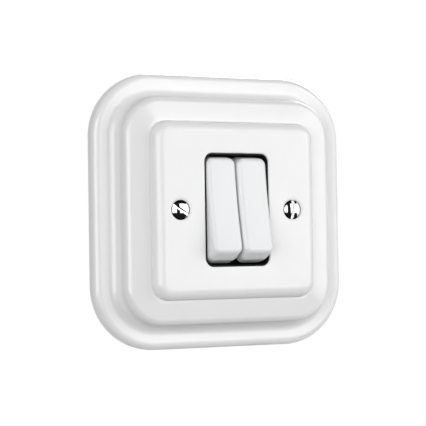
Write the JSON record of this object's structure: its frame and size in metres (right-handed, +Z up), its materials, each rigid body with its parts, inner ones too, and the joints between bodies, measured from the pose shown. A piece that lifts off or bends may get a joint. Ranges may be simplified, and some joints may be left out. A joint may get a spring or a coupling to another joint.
{
  "type": "ceramic light switch",
  "caption": "Glazed ceramic rocker light switch: stepped rounded-square frame, screwed centre plate and flush insert with tilting contacts.",
  "frame": {"origin": "centre of the switch on the wall plane, where the strap's back face meets the wall", "axes": "+X right, +Z up, +Y into the wall, so the front of the switch faces -Y"},
  "size_m": [0.105, 0.0478, 0.105],
  "materials": {
    "frame_porcelain": "glossy white glaze",
    "plate_porcelain": "white glaze, a little softer than the frame",
    "white_moulding": "white moulded plastic, satin",
    "black_moulding": "black moulded plastic",
    "base_moulding": "grey-white moulded block",
    "plunger_moulding": "natural plastic",
    "nickel_screw": "bright nickel plate",
    "zinced_steel": "zinc plate",
    "plain_steel": "drawn steel",
    "brass": "stamped brass"
  },
  "bodies": {
    "switch": {"cover_frame": "frame_porcelain", "centre_plate": "plate_porcelain", "mounting_strap": "zinced_steel", "rocker_carrier": "black_moulding", "rocker_axle": "plain_steel", "switch_base": "base_moulding", "upper_base_screw": "zinced_steel", "lower_base_screw": "zinced_steel", "left_cover_screw": "nickel_screw", "left_post": "brass", "left_common_terminal": "brass", "left_upper_contact": "brass", "left_lower_contact": "brass", "left_common_screw": "zinced_steel", "left_upper_screw": "zinced_steel", "left_lower_screw": "zinced_steel", "right_cover_screw": "nickel_screw", "right_post": "brass", "right_common_terminal": "brass", "right_upper_contact": "brass", "right_lower_contact": "brass", "right_common_screw": "zinced_steel", "right_upper_screw": "zinced_steel", "right_lower_screw": "zinced_steel"},
    "left_key": {"left_rocker": "white_moulding", "left_spring": "plain_steel"},
    "left_pin": {"left_plunger": "plunger_moulding"},
    "left_see_saw": {"left_contact_rocker": "brass"},
    "right_key": {"right_rocker": "white_moulding", "right_spring": "plain_steel"},
    "right_pin": {"right_plunger": "plunger_moulding"},
    "right_see_saw": {"right_contact_rocker": "brass"}
  },
  "joints": [
    {"name": "left_rock", "type": "hinge", "parent": "switch", "child": "left_key", "pos_m": [-0.00645, -0.0128, 0], "axis": [1, 0, 0], "range_deg": [0, 20]},
    {"name": "left_press", "type": "slide", "parent": "left_key", "child": "left_pin", "axis": [0, -0.9848, 0.1736], "range_m": [0, 0.0006], "stiffness_N_per_m": 800, "springref_m": -0.003, "deforming": ["left_spring"]},
    {"name": "left_tilt", "type": "hinge", "parent": "switch", "child": "left_see_saw", "pos_m": [-0.00645, 0.00365, 0], "axis": [1, 0, 0], "range_deg": [-20, 2]},
    {"name": "right_rock", "type": "hinge", "parent": "switch", "child": "right_key", "pos_m": [0.00645, -0.0128, 0], "axis": [1, 0, 0], "range_deg": [0, 20]},
    {"name": "right_press", "type": "slide", "parent": "right_key", "child": "right_pin", "axis": [0, -0.9848, 0.1736], "range_m": [0, 0.0006], "stiffness_N_per_m": 800, "springref_m": -0.003, "deforming": ["right_spring"]},
    {"name": "right_tilt", "type": "hinge", "parent": "switch", "child": "right_see_saw", "pos_m": [0.00645, 0.00365, 0], "axis": [1, 0, 0], "range_deg": [-20, 2]}
  ],
  "couplings": [
    {"joint": "left_tilt", "follows": "left_rock", "ratio": -0.8},
    {"joint": "right_tilt", "follows": "right_rock", "ratio": -0.8}
  ]
}
